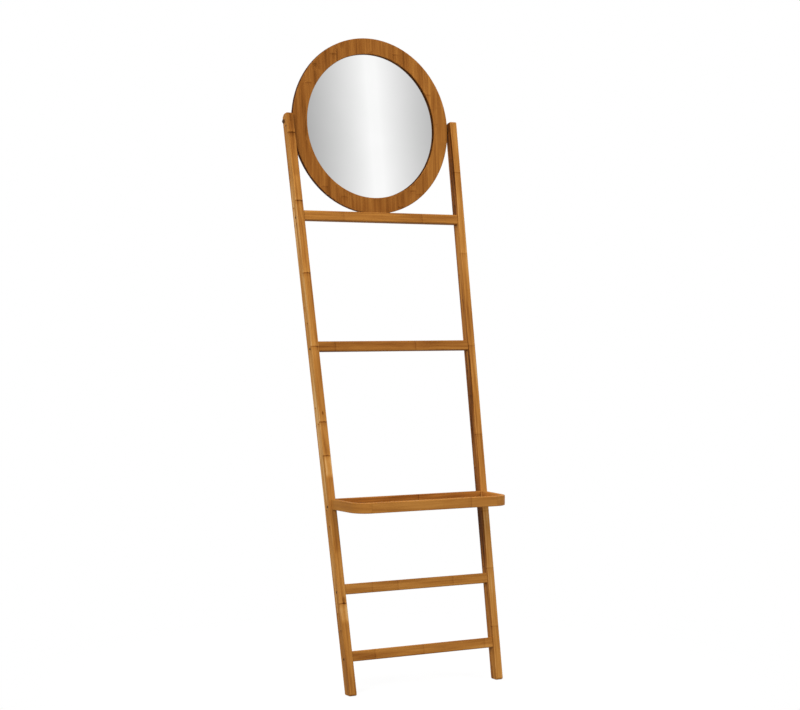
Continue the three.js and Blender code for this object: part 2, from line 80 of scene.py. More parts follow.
# How the pieces lie in the CAD model
SIDES = {"left": -1, "right": 1}
LEAN = math.radians(11.4)
MIRROR_LEAN = math.radians(4.8)
RAIL_SPLAY = math.atan(0.0214)
FOOT_HALF_WIDTH = 0.21575
RAIL_FRONT_FOOT_Y = -0.1513
TRAY_CORNER_RADIUS = 0.042

# Directions of the grain
LADDER_TURN = Matrix.Rotation(-LEAN, 3, "X")
MIRROR_TURN = Matrix.Rotation(-MIRROR_LEAN, 3, "X")
ACROSS_TURN = Matrix.Rotation(math.pi / 2, 3, "Y")
PANEL_TURN = Matrix(((0, 0, 1), (1, 0, 0), (0, 1, 0)))

# Smoothing of the copies
WELD_DISTANCE = 0.01 * MM
FLAT_ANGLE = math.radians(0.5)
SHARP_ANGLE = math.radians(50)


def linear(code):
    """A linear RGBA colour from a hex sRGB code."""
    parts = [int(code[i : i + 2], 16) / 255 for i in (0, 2, 4)]
    values = [c / 12.92 if c <= 0.04045 else ((c + 0.055) / 1.055) ** 2.4 for c in parts]
    return (*values, 1.0)


class Tree:
    """A material's node tree, built by short calls that return output sockets."""

    def __init__(self, name):
        self.material = bpy.data.materials.new(name)
        self.material.use_nodes = True
        self.tree = self.material.node_tree
        self.tree.nodes.clear()

    def node(self, kind, **settings):
        made = self.tree.nodes.new(kind)
        for key, value in settings.items():
            setattr(made, key, value)
        return made

    def feed(self, socket, value):
        if isinstance(value, bpy.types.NodeSocket):
            self.tree.links.new(value, socket)
        else:
            socket.default_value = value

    def place(self):
        return self.node("ShaderNodeTexCoord").outputs["Object"]

    def normal(self):
        return self.node("ShaderNodeTexCoord").outputs["Normal"]

    def math(self, operation, a, b=0.0, c=0.0):
        made = self.node("ShaderNodeMath", operation=operation)
        for socket, value in zip(made.inputs, (a, b, c)):
            self.feed(socket, value)
        return made.outputs[0]

    def vector(self, operation, a, b):
        made = self.node("ShaderNodeVectorMath", operation=operation)
        self.feed(made.inputs[0], a)
        self.feed(made.inputs[1], b)
        return made.outputs["Value" if operation == "DOT_PRODUCT" else "Vector"]

    def length(self, vector):
        made = self.node("ShaderNodeVectorMath", operation="LENGTH")
        self.feed(made.inputs[0], vector)
        return made.outputs["Value"]

    def split(self, vector):
        made = self.node("ShaderNodeSeparateXYZ")
        self.feed(made.inputs[0], vector)
        return made.outputs

    def combine(self, x, y, z):
        made = self.node("ShaderNodeCombineXYZ")
        for socket, value in zip(made.inputs, (x, y, z)):
            self.feed(socket, value)
        return made.outputs[0]

    def noise(self, vector, detail=2.0, roughness=0.5):
        made = self.node("ShaderNodeTexNoise", noise_dimensions="3D")
        self.feed(made.inputs["Vector"], vector)
        made.inputs["Scale"].default_value = 1.0
        made.inputs["Detail"].default_value = detail
        made.inputs["Roughness"].default_value = roughness
        return made.outputs["Fac"]

    def random(self, vector):
        made = self.node("ShaderNodeTexWhiteNoise", noise_dimensions="3D")
        self.feed(made.inputs["Vector"], vector)
        return made.outputs["Value"]

    def remap(self, value, low, high, to_low=0.0, to_high=1.0, smooth=False):
        made = self.node("ShaderNodeMapRange", clamp=True)
        if smooth:
            made.interpolation_type = "SMOOTHSTEP"
        for socket, part in zip(made.inputs, (value, low, high, to_low, to_high)):
            self.feed(socket, part)
        return made.outputs[0]

    def ramp(self, value, stops):
        made = self.node("ShaderNodeValToRGB")
        elements = made.color_ramp.elements
        while len(elements) < len(stops):
            elements.new(0.5)
        for element, (place, colour) in zip(elements, stops):
            element.position = place
            element.color = colour
        self.feed(made.inputs[0], value)
        return made.outputs["Color"]

    def mix(self, factor, a, b):
        made = self.node("ShaderNodeMix", data_type="FLOAT")
        for socket, part in zip((made.inputs[0], made.inputs[2], made.inputs[3]), (factor, a, b)):
            self.feed(socket, part)
        return made.outputs[0]

    def bump(self, height, strength, distance):
        made = self.node("ShaderNodeBump")
        made.inputs["Strength"].default_value = strength
        made.inputs["Distance"].default_value = distance
        self.feed(made.inputs["Height"], height)
        return made.outputs[0]

    def glow(self, strength):
        made = self.node("ShaderNodeEmission")
        self.feed(made.inputs["Strength"], strength)
        return made.outputs[0]

    def finish(self, shader):
        output = self.node("ShaderNodeOutputMaterial")
        self.tree.links.new(shader, output.inputs["Surface"])
        return self.material

    def surface(self, colour, roughness, normal=None, **settings):
        shader = self.node("ShaderNodeBsdfPrincipled")
        self.feed(shader.inputs["Base Color"], colour)
        self.feed(shader.inputs["Roughness"], roughness)
        if normal is not None:
            self.feed(shader.inputs["Normal"], normal)
        for key, value in settings.items():
            shader.inputs[key.replace("_", " ")].default_value = value
        return self.finish(shader.outputs[0])


# Lays of the grain

# How nearly a face looks along the grain where cut ends begin to show, and where only they do
CUT_END_FACING = (0.75, 0.92)


def straight_grain(turn, origin):
    """Lays the grain along the local Z of a turn. The strips' widths run along X, plies along Y."""

    def lay(t):
        mapping = t.node("ShaderNodeMapping", vector_type="TEXTURE")
        t.feed(mapping.inputs["Vector"], t.place())
        mapping.inputs["Location"].default_value = origin
        mapping.inputs["Rotation"].default_value = turn.to_euler("XYZ")
        across, deep, along = t.split(mapping.outputs[0])
        grain = turn @ Vector((0.0, 0.0, 1.0))
        facing = t.math("ABSOLUTE", t.vector("DOT_PRODUCT", t.normal(), tuple(grain)))
        return across, deep, along, t.remap(facing, *CUT_END_FACING, smooth=True)

    return lay


def bent_grain(sign, centre, radius, low):
    """Lays the grain along a side board of the tray and round its bent corner about a centre."""

    def lay(t):
        x, y, z = t.split(t.place())
        outward = t.math("MULTIPLY_ADD", x, sign, -centre[0])
        ahead = t.math("SUBTRACT", centre[1], y)
        reach = t.math("MAXIMUM", ahead, 0.0)
        turned = t.math("MULTIPLY", t.math("ARCTAN2", reach, outward), radius)
        along = t.math("ADD", turned, t.math("MINIMUM", ahead, 0.0))
        squares = t.math("MULTIPLY_ADD", outward, outward, t.math("MULTIPLY", reach, reach))
        return t.math("SUBTRACT", z, low), t.math("SQRT", squares), along, 0.0

    return lay


# Tones that a piece has in some places, and painted light and shade on some faces

# How far a face of a rail looks aside where the sides' painted light and shade begin, and where
# they are full
SIDE_FACING = (0.3, 0.85)

# How far to each side of a height one tone passes into the next
FRONT_TONE_BLUR = 8.0 * MM
SIDE_LIGHT_AND_SHADE_BLUR = 30.0 * MM

# Knots: the share of the radius that is fully dark, and how much longer than wide they are
KNOT_TONE = -0.28
KNOT_CORE = 1 / 3
KNOT_STRETCH = 2.0

# How far a face of the ring looks forwards where the painted shade on its cut walls fades, and
# where it ends
WALL_FACING = (0.15, 0.75)
WALL_PAINTED_SHADE = -0.34

# How far to the right the ring begins to turn paler, partly in the wood's own tone and partly as
# painted light, and where it is as pale as it gets
RING_PALE_SIDE = (0.11, 0.19)
RING_PALE_TONE_AND_LIGHT = 0.09


def rail_tones_and_painted_light(outward, front, outer, inner, knots):
    """Gives a rail's front and rear tones by height, painted light on its outer face, painted shade
    on its inner, and knots.

    front, outer (painted light) and inner (painted shade) list rising heights along the rail, each
    with the tone from there up.
    knots lists each knot's place across the front, its height and its radius.
    """

    def tone_along(t, along, steps, blur):
        value = steps[0][1]
        for (_, below), (height, tone) in zip(steps, steps[1:]):
            step = t.remap(along, height - blur, height + blur, 0.0, tone - below, smooth=True)
            value = t.math("ADD", value, step)
        return value

    def shade(t, across, deep, along):
        facing = t.vector("DOT_PRODUCT", t.normal(), tuple(outward))
        ahead = t.remap(t.math("ABSOLUTE", facing), *SIDE_FACING, 1.0, 0.0, smooth=True)
        value = t.math("MULTIPLY", ahead, tone_along(t, along, front, FRONT_TONE_BLUR))
        # Painted light on the outer face and painted shade on the inner one, each by height
        for sign, steps in ((1.0, outer), (-1.0, inner)):
            aside = t.remap(t.math("MULTIPLY", facing, sign), *SIDE_FACING, smooth=True)
            tone = tone_along(t, along, steps, SIDE_LIGHT_AND_SHADE_BLUR)
            value = t.math("MULTIPLY_ADD", aside, tone, value)
        for place, height, radius in knots:
            beside = t.math("SUBTRACT", across, place)
            above = t.math("DIVIDE", t.math("SUBTRACT", along, height), KNOT_STRETCH)
            distance = t.length(t.combine(beside, deep, above))
            spot = t.remap(distance, radius * KNOT_CORE, radius, KNOT_TONE, 0.0, smooth=True)
            value = t.math("ADD", value, spot)
        return value

    return shade


def ring_painted_shade_and_tone(axis):
    """Paints shade on the cut walls of a flat ring, whose axis is given, and makes its right side
    paler.
    """

    def shade(t, across, deep, along):
        facing = t.math("ABSOLUTE", t.vector("DOT_PRODUCT", t.normal(), tuple(axis)))
        # Painted shade on the cut walls, which turn away from the light
        walls = t.remap(facing, *WALL_FACING, WALL_PAINTED_SHADE, 0.0, smooth=True)
        # The right side is paler, partly in the wood's own tone and partly as painted light
        right_tone_and_light = t.remap(across, *RING_PALE_SIDE, 0.0, RING_PALE_TONE_AND_LIGHT, smooth=True)
        return t.math("ADD", walls, right_tone_and_light)

    return shade


# Bamboo

# Its colours by their places on the scale of tones, where the middle one stands for tone 0
BAMBOO_COLOURS = (
    (0.06, "482304"),
    (0.28, "885220"),
    (0.50, "ab7132"),
    (0.68, "be8440"),
    (0.90, "d7a96c"),
)
MIDDLE = 0.5
BAMBOO_ROUGHNESS = (0.48, 0.62)
BAMBOO_GLOSS = 0.12
WARM_GLOSS = (1.0, 0.62, 0.28, 1.0)

# Patterns of its grain: repeats per metre across and along it, shift and detail
CLOUD = (60.0, 6.0, 1.0, 2.0)
STREAK = (190.0, 5.0, 2.0, 3.0)
FIBRE = (900.0, 14.0, 4.0, 2.0)
FLECK = (1100.0, 90.0, 5.0, 1.0)

# Nearly all values of a noise lie in the first range, and few lie above the second
COMMON_NOISE = (0.3, 0.7)
RARE_NOISE = (0.62, 0.72)

# How far the patterns, and the chance of each strip and of each of its lengths, swing the tone
CLOUD_TONE = 0.17
STREAK_TONE = 0.14
FIBRE_TONE = 0.06
FLECK_TONE = -0.08
STRIP_TONE = 0.05
SEGMENT_TONE = 0.08

# Shifts that set a strip's noise and culm nodes apart from its neighbour's
STRIP_PATTERN_SHIFT = 9.0
STRIP_NODE_SHIFT = 3.7

# What the bends of the culm nodes and the lengths between them add to a piece's seed
BEND_SEED = 3.0
SEGMENT_SEED = 7.0

# Culm nodes: half widths of the line and the soft band at full strength and where they end
NODE_LINE = (0.6 * MM, 2.6 * MM)
NODE_BAND = (2.0 * MM, 16.0 * MM)
FAINT_LINE_TONE = -0.12
STRONG_LINE_TONE = -0.34
ABOVE_NODE_TONE = 0.04
BELOW_NODE_TONE = -0.09
NODE_BEND = 5.0 * MM
NODE_BENDS_PER_METRE = 120.0
FAR = 1.0

# Glue lines, and the fibre bundles that show as dots in the cut ends
GLUE_LINE = (0.05 * MM, 0.35 * MM)
GLUE_TONE = -0.03
CUT_END_TONE = -0.10
DOTS_PER_METRE = 1100.0
DOT_SIZE = (0.18, 0.42)
DOT_TONE = -0.22

# Relief
FIBRE_RELIEF = 0.35
STREAK_RELIEF = 0.35
BAND_RELIEF = 0.7
LINE_RELIEF = -0.6
GLUE_RELIEF = -0.5
BAMBOO_BUMP = 0.35
BAMBOO_RELIEF_DEPTH = 0.25 * MM


def recurring_nodes(t, along, chance, spacing):
    """Culm nodes a spacing apart: a place's segment and its distance from the node."""
    shift = t.math("MULTIPLY", chance, STRIP_NODE_SHIFT * spacing)
    shifted = t.math("DIVIDE", t.math("ADD", along, shift), spacing)
    segment = t.math("FLOOR", shifted)
    from_middle = t.math("SUBTRACT", t.math("FRACT", shifted), 0.5)
    return segment, t.math("MULTIPLY", from_middle, spacing)


def marked_nodes(t, along, marks):
    """Culm nodes at the given marks: a place's segment and its distance from the nearest node."""
    segment = 0.0
    distance = FAR
    for mark in marks:
        offset = t.math("SUBTRACT", along, mark)
        segment = t.math("ADD", segment, t.math("GREATER_THAN", offset, 0.0))
        nearer = t.math("LESS_THAN", t.math("ABSOLUTE", offset), t.math("ABSOLUTE", distance))
        distance = t.mix(nearer, distance, offset)
    return segment, distance


def glue_line(t, coordinate, width):
    """1 on the lines between strips of a width, whose coordinate counts the strips."""
    near = t.math("MULTIPLY", t.math("PINGPONG", coordinate, 0.5), width)
    return t.remap(near, *GLUE_LINE, 1.0, 0.0, smooth=True)


def cut_ends(t, across, deep, seed, tone):
    """The strips' cut ends with their dots, on the scale of tones."""
    cells = t.node("ShaderNodeTexVoronoi", feature="F1")
    t.feed(cells.inputs["Vector"], t.combine(
        t.math("MULTIPLY", across, DOTS_PER_METRE), t.math("MULTIPLY", deep, DOTS_PER_METRE), seed))
    cells.inputs["Scale"].default_value = 1.0
    dots = t.remap(cells.outputs["Distance"], *DOT_SIZE, 1.0, 0.0)
    return t.math("MULTIPLY_ADD", dots, DOT_TONE, MIDDLE + CUT_END_TONE + tone)


def bamboo(name, lay, seed, strip, ply, spacing, marks=(), tone=0.0, marking=1.0, contrast=1.0,
           shade=None):
    """Lacquered bamboo in strips of a width and plies of a thickness, laid out by a grain.

    marks are the culm nodes' places along the front ply; elsewhere they recur by spacing.
    marking and contrast scale the culm nodes' and the patterns' tones.
    shade takes the tree and the place in the grain and returns what to add to the tone.
    """
    t = Tree(name)
    across, deep, along, end_grain = lay(t)

    # Each strip and ply has its own tone, and its culm nodes lie at their own heights.
    column = t.math("DIVIDE", across, strip)
    layer = t.math("DIVIDE", deep, ply)
    column_index = t.math("FLOOR", column)
    layer_index = t.math("FLOOR", layer)
    strip_chance = t.random(t.combine(column_index, layer_index, seed))
    bend = t.noise(t.combine(
        t.math("MULTIPLY", across, NODE_BENDS_PER_METRE),
        t.math("MULTIPLY", deep, NODE_BENDS_PER_METRE),
        seed + BEND_SEED))
    bent = t.math("ADD", along, t.math("MULTIPLY", bend, NODE_BEND))
    segment, distance = recurring_nodes(t, bent, strip_chance, spacing)
    if marks:
        front_segment, front_distance = marked_nodes(t, bent, marks)
        front = t.math("LESS_THAN", layer, 1.0)
        segment = t.mix(front, segment, front_segment)
        distance = t.mix(front, distance, front_distance)
    segment_chance = t.random(t.combine(
        t.math("ADD", column_index, segment), layer_index, seed + SEGMENT_SEED))

    # Fibres, streaks and clouds, all long along the grain
    def pattern(repeats_across, repeats_along, shift, detail):
        strip_shift = t.math("MULTIPLY", strip_chance, STRIP_PATTERN_SHIFT)
        return t.noise(t.combine(
            t.math("MULTIPLY", across, repeats_across),
            t.math("MULTIPLY_ADD", deep, repeats_across, seed + shift),
            t.math("MULTIPLY_ADD", along, repeats_along, strip_shift),
        ), detail)

    cloud = pattern(*CLOUD)
    streak = pattern(*STREAK)
    fibre = pattern(*FIBRE)
    fleck = pattern(*FLECK)

    value = MIDDLE + tone
    for part, amount in ((cloud, CLOUD_TONE), (streak, STREAK_TONE), (fibre, FIBRE_TONE)):
        swing = t.remap(part, *COMMON_NOISE, -1.0, 1.0)
        value = t.math("MULTIPLY_ADD", swing, amount * contrast, value)
    for part, amount in ((strip_chance, STRIP_TONE), (segment_chance, SEGMENT_TONE * marking)):
        value = t.math("MULTIPLY_ADD", t.math("SUBTRACT", part, 0.5), amount, value)
    value = t.math("ADD", value, t.remap(fleck, *RARE_NOISE, 0.0, FLECK_TONE * contrast))
    if shade:
        value = t.math("ADD", value, shade(t, across, deep, along))

    # A culm node: a thin dark line, a paler rim above it and a soft darker band below
    size = t.math("ABSOLUTE", distance)
    line = t.remap(size, *NODE_LINE, 1.0, 0.0, smooth=True)
    band = t.remap(size, *NODE_BAND, 1.0, 0.0, smooth=True)
    above = t.math("GREATER_THAN", distance, 0.0)
    band_tone = t.math("MULTIPLY_ADD", above, ABOVE_NODE_TONE - BELOW_NODE_TONE, BELOW_NODE_TONE)
    line_tone = t.remap(
        segment_chance, 0.0, 1.0, FAINT_LINE_TONE * marking, STRONG_LINE_TONE * marking)
    value = t.math("MULTIPLY_ADD", t.math("MULTIPLY", band_tone, band), marking, value)
    value = t.math("MULTIPLY_ADD", line, line_tone, value)

    glue = t.math("MAXIMUM", glue_line(t, column, strip), glue_line(t, layer, ply))
    value = t.math("MULTIPLY_ADD", glue, GLUE_TONE, value)

    ends = cut_ends(t, across, deep, seed, tone)
    stops = [(place, linear(code)) for place, code in BAMBOO_COLOURS]
    colour = t.ramp(t.mix(end_grain, value, ends), stops)
    height = 0.0
    for part, relief in (
        (fibre, FIBRE_RELIEF), (streak, STREAK_RELIEF), (band, BAND_RELIEF), (line, LINE_RELIEF),
        (glue, GLUE_RELIEF),
    ):
        height = t.math("MULTIPLY_ADD", part, relief, height)
    return t.surface(
        colour, t.remap(streak, *COMMON_NOISE, *BAMBOO_ROUGHNESS),
        t.bump(height, BAMBOO_BUMP, BAMBOO_RELIEF_DEPTH),
        Specular_IOR_Level=BAMBOO_GLOSS, Specular_Tint=WARM_GLOSS)


# Other materials

# Metals, board and dowels
PLAIN_BUMP = 0.1
PLAIN_RELIEF_DEPTH = 0.1 * MM
PLAIN_DETAIL = 4.0
PLAIN_NOISE_ROUGHNESS = 0.6
ROUGHNESS_SPREAD = 0.15

# The mirror's silver, with a haze that hardly shows, and its colours by the haze
HAZE_PER_METRE = 9.0
HAZE_DETAIL = 3.0
HAZE_NOISE = (0.35, 0.75)
SILVER_ROUGHNESS = (0.004, 0.012)
SILVER_COLOURS = ((0.3, (0.93, 0.935, 0.93, 1.0)), (0.7, (0.96, 0.96, 0.96, 1.0)))


def plain(name, code, roughness, metallic, repeats, spread, bump=PLAIN_BUMP):
    """A metal, board or dowel finish with a fine mottled tone and roughness.

    repeats counts the mottles in a metre, and spread is how far they change the colour.
    """
    t = Tree(name)
    mottle = t.noise(
        t.vector("MULTIPLY", t.place(), (repeats, repeats, repeats)), PLAIN_DETAIL,
        PLAIN_NOISE_ROUGHNESS)
    base = linear(code)
    dark = tuple(c * (1 - spread) for c in base[:3]) + (1.0,)
    light = tuple(min(1.0, c * (1 + spread)) for c in base[:3]) + (1.0,)
    low, high = COMMON_NOISE
    colour = t.ramp(mottle, [(low, dark), (high, light)])
    rough = t.remap(
        mottle, low, high, roughness * (1 - ROUGHNESS_SPREAD), roughness * (1 + ROUGHNESS_SPREAD))
    return t.surface(colour, rough, t.bump(mottle, bump, PLAIN_RELIEF_DEPTH), Metallic=metallic)


def mirror_silver():
    t = Tree("silvered_glass")
    repeats = (HAZE_PER_METRE, HAZE_PER_METRE, HAZE_PER_METRE)
    haze = t.noise(t.vector("MULTIPLY", t.place(), repeats), HAZE_DETAIL)
    rough = t.remap(haze, *HAZE_NOISE, *SILVER_ROUGHNESS)
    return t.surface(t.ramp(haze, SILVER_COLOURS), rough, Metallic=1.0)


# Pieces


def dressed(node, material):
    """A welded copy of a CAD node with smooth round edges, shown in its place."""
    source = frame["nodes"][node]
    mesh = source.data.copy()
    mesh.name = node + "_look"
    shape = bmesh.new()
    shape.from_mesh(mesh)
    bmesh.ops.remove_doubles(shape, verts=shape.verts, dist=WELD_DISTANCE)
    bmesh.ops.dissolve_limit(
        shape, angle_limit=FLAT_ANGLE, verts=shape.verts, edges=shape.edges)
    for edge in shape.edges:
        edge.smooth = not (len(edge.link_faces) == 2 and edge.calc_face_angle(0.0) > SHARP_ANGLE)
    for face in shape.faces:
        face.smooth = True
    shape.to_mesh(mesh)
    shape.free()
    mesh.materials.clear()
    mesh.materials.append(material)
    piece = bpy.data.objects.new(node + "_look", mesh)
    bpy.context.scene.collection.objects.link(piece)
    weighted = piece.modifiers.new("weighted normals", "WEIGHTED_NORMAL")
    weighted.keep_sharp = True
    weighted.mode = "FACE_AREA_WITH_ANGLE"
    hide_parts(node)
    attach(piece, source["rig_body"])
    return piece


def middle(node):
    low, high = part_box(node)
    return (low + high) / 2


# A strip so broad that it covers a piece's whole front
BROAD_STRIP = 60 * MM

# Each kind of piece's strips and plies, and how far apart its culm nodes are
RAIL_BAMBOO = {"strip": BROAD_STRIP, "ply": 6.8 * MM, "spacing": 0.26}
RUNG_BAMBOO = {
    "strip": BROAD_STRIP, "ply": 9.0 * MM, "spacing": 0.24, "marking": 0.32, "contrast": 0.7,
}
TRAY_BAR_BAMBOO = {
    "strip": BROAD_STRIP, "ply": 5.5 * MM, "spacing": 0.30, "marking": 0.4, "contrast": 0.7,
}
TRAY_SIDE_BAMBOO = {
    "strip": BROAD_STRIP, "ply": BROAD_STRIP, "spacing": 0.31, "tone": 0.03, "marking": 0.2,
    "contrast": 0.35,
}
TRAY_FLOOR_BAMBOO = {"strip": 20 * MM, "ply": 4.2 * MM, "spacing": 0.28, "marking": 0.5}
RING_BAMBOO = {
    "strip": 19 * MM, "ply": 6.5 * MM, "spacing": 0.41, "tone": -0.16, "marking": 0.35,
    "contrast": 0.55,
}

# Rails: heights along the rail of the culm nodes, the knots, the steps of the front faces' tones,
# and of the painted light on the outer faces and the painted shade on the inner ones
RAIL_SEED = {"left": 10.0, "right": 12.0}
RAIL_TONE = {"left": 0.02, "right": 0.09}
RAIL_MARKING = {"left": 1.2, "right": 0.5}
RAIL_MARKS = {
    "left": (0.233, 0.605, 0.691, 0.885, 1.076, 1.266, 1.447),
    "right": (0.141, 0.292, 0.442, 0.645, 0.883, 1.134, 1.358),
}
RAIL_KNOTS = {
    "left": ((33 * MM, 0.237, 7.0 * MM), (30 * MM, 0.711, 3.5 * MM)),
    "right": (),
}
RAIL_FRONT_TONES = {
    "left": (
        (0.0, 0.0),
        (0.185, 0.26),
        (0.230, 0.08),
        (0.36, -0.02),
        (0.55, 0.28),
        (0.602, -0.02),
        (0.78, -0.01),
        (1.33, -0.15),
    ),
    "right": ((0.0, 0.09), (0.442, 0.0), (1.358, -0.05)),
}
# Painted light on the outer faces, by height: the left rail's is paler where light falls on it
RAIL_OUTER_PAINTED_LIGHT = {
    "left": ((0.0, -0.06), (0.20, 0.10), (0.47, 0.24), (0.66, 0.22), (1.32, 0.0)),
    "right": ((0.0, 0.0),),
}
# Painted shade on the inner faces, by height: the right rail's is deepest where the ring, the tray
# and the things hung on the stand shade it
RAIL_INNER_PAINTED_SHADE = {
    "left": ((0.0, -0.10),),
    "right": (
        (0.0, -0.20),
        (0.30, -0.33),
        (0.62, -0.43),
        (0.78, -0.34),
        (0.87, -0.14),
        (1.22, -0.36),
    ),
}

# Rungs: how far below the middle the strip begins, and the culm nodes' places from the middle
RUNG_STRIP_EDGE = 20 * MM
RUNG_SEED = {"top": 31.0, "towel": 36.0, "lower": 341.0, "bottom": 346.0}
RUNG_TONE = {"top": -0.055, "towel": -0.16, "lower": 0.01, "bottom": -0.035}
RUNG_MARKS = {
    "top": (-0.113, 0.123),
    "towel": (-0.173, 0.065),
    "lower": (-0.130, -0.056, 0.108),
    "bottom": (-0.140, 0.002, 0.185),
}

# Tray: how far below its underside the strips of its rim begin
TRAY_STRIP_EDGE = 7 * MM
TRAY_BAR_SEED = {"front_board": 61.0, "back_bar": 67.0}
# The back bar is darker: painted shade inside the tray
TRAY_BAR_TONE_AND_SHADE = {"front_board": 0.0, "back_bar": -0.10}
TRAY_SIDE_SEED = {"left": 72.0, "right": 74.0}
TRAY_FLOOR_SEED = 83.0

# Mirror: where the ring's middle lies in its strip and ply
RING_SEED = 97.0
RING_MIDDLE_IN_STRIP = (5 * MM, 6 * MM, 0.0)


def make_rails():
    for side, sign in SIDES.items():
        turn = LADDER_TURN @ Matrix.Rotation(sign * RAIL_SPLAY, 3, "Y")
        foot = Vector((sign * FOOT_HALF_WIDTH, RAIL_FRONT_FOOT_Y, 0.0))
        origin = foot - turn @ Vector((BROAD_STRIP / 2, 0.0, 0.0))
        shade = rail_tones_and_painted_light(
            turn @ Vector((sign, 0.0, 0.0)), RAIL_FRONT_TONES[side], RAIL_OUTER_PAINTED_LIGHT[side],
            RAIL_INNER_PAINTED_SHADE[side], RAIL_KNOTS[side])
        material = bamboo(
            f"bamboo_rail_{side}", straight_grain(turn, origin), RAIL_SEED[side],
            marks=RAIL_MARKS[side], tone=RAIL_TONE[side], marking=RAIL_MARKING[side],
            shade=shade, **RAIL_BAMBOO)
        dressed(f"rail_{side}", material)


def make_rungs():
    for name, seed in RUNG_SEED.items():
        low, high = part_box(f"rung_{name}")
        front_middle = Vector((0.0, low.y, (low.z + high.z) / 2))
        origin = front_middle - LADDER_TURN @ Vector((0.0, 0.0, RUNG_STRIP_EDGE))
        material = bamboo(
            f"bamboo_rung_{name}", straight_grain(LADDER_TURN @ ACROSS_TURN, origin), seed,
            marks=RUNG_MARKS[name], tone=RUNG_TONE[name], **RUNG_BAMBOO)
        dressed(f"rung_{name}", material)


def make_tray():
    for name, seed in TRAY_BAR_SEED.items():
        low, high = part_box(f"tray_{name}")
        origin = Vector((0.0, low.y, low.z - TRAY_STRIP_EDGE))
        material = bamboo(
            f"bamboo_tray_{name}", straight_grain(ACROSS_TURN, origin), seed,
            tone=TRAY_BAR_TONE_AND_SHADE[name], **TRAY_BAR_BAMBOO)
        dressed(f"tray_{name}", material)
    for side, sign in SIDES.items():
        low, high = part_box(f"tray_side_board_{side}")
        outer = max(abs(low.x), abs(high.x))
        centre = (outer - TRAY_CORNER_RADIUS, low.y + TRAY_CORNER_RADIUS)
        grain = bent_grain(sign, centre, TRAY_CORNER_RADIUS, low.z - TRAY_STRIP_EDGE)
        material = bamboo(
            f"bamboo_tray_side_{side}", grain, TRAY_SIDE_SEED[side], **TRAY_SIDE_BAMBOO)
        dressed(f"tray_side_board_{side}", material)
    floor_corner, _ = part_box("tray_floor")
    panel = bamboo(
        "bamboo_tray_floor", straight_grain(PANEL_TURN, floor_corner), TRAY_FLOOR_SEED,
        **TRAY_FLOOR_BAMBOO)
    dressed("tray_floor", panel)


# How much deeper than the front of the glass its silvered back shows
SILVER_DEPTH = 2 * MM


def make_glass(behind):
    """The glass, with its front as deep as its silvered back shows. behind points rearwards."""
    glass = dressed("mirror_glass", mirror_silver())
    centre = middle("mirror_glass")
    for vertex in glass.data.vertices:
        if (vertex.co - centre).dot(behind) < 0:
            vertex.co += behind * SILVER_DEPTH


def make_mirror():
    behind = MIRROR_TURN @ Vector((0.0, 1.0, 0.0))
    origin = middle("mirror_frame") - MIRROR_TURN @ Vector(RING_MIDDLE_IN_STRIP)
    wood = bamboo(
        "bamboo_mirror_frame", straight_grain(MIRROR_TURN, origin), RING_SEED,
        shade=ring_painted_shade_and_tone(behind), **RING_BAMBOO)
    dressed("mirror_frame", wood)
    make_glass(behind)
    board = plain(
        "brown_hardboard", "6d4a2c", roughness=0.8, metallic=0.0, repeats=900.0, spread=0.25,
        bump=0.4)
    dressed("mirror_backing", board)


def make_fasteners():
    steel = plain(
        "bronzed_steel", "5a3a1c", roughness=0.5, metallic=0.4, repeats=2500.0, spread=0.2)
    brass = plain(
        "turned_brass", "b08d4a", roughness=0.34, metallic=1.0, repeats=2500.0, spread=0.1)
    beech = plain(
        "beech_dowel", "c9a06a", roughness=0.65, metallic=0.0, repeats=1200.0, spread=0.12,
        bump=0.3)
    for node in frame["nodes"]:
        if "screw" in node or "bolt" in node or "washer" in node:
            dressed(node, steel)
        elif "insert" in node:
            dressed(node, brass)
        elif "dowel" in node:
            dressed(node, beech)


# Studio

# The studio's white as a light for matt surfaces and as seen in reflections
AMBIENT_STRENGTH = 0.38
REFLECTED_WHITE = 0.6

# The floor: how white it shows near the stand and far from it, with the radii between them
FLOOR_SIZE = 30.0
FLOOR_DROP = 0.2 * MM
FLOOR_FADE = (0.25, 1.0)
FLOOR_WHITENESS = (0.86, 1.0)
FLOOR_GREY = 0.93
FLOOR_GREY_AS_LIGHT = 0.30

# The soft lamps: place, power in watts and size
LAMPS = {
    "key": ((-4.0, -3.0, 3.4), 168.0, 2.2),
    "top": ((-0.5, -1.2, 4.6), 52.0, 1.6),
    "fill": ((2.6, -4.2, 2.6), 80.0, 2.2),
    "rim": ((-0.6, 3.5, 3.0), 105.0, 2.2),
    "side": ((4.4, 0.9, 2.2), 90.0, 2.2),
}
LAMP_AIM = (0.0, 0.0, 0.85)

# The panel that the mirror reflects: bright along its upright middle line, dimmer to the sides
PANEL_SIZE = 1.6
PANEL_DISTANCE = 3.0
PANEL_BRIGHT_HALF = 0.02
PANEL_FALL_PER_METRE = 1.12
PANEL_DIMMEST = 0.6
PANEL_EXPONENT = 2.2


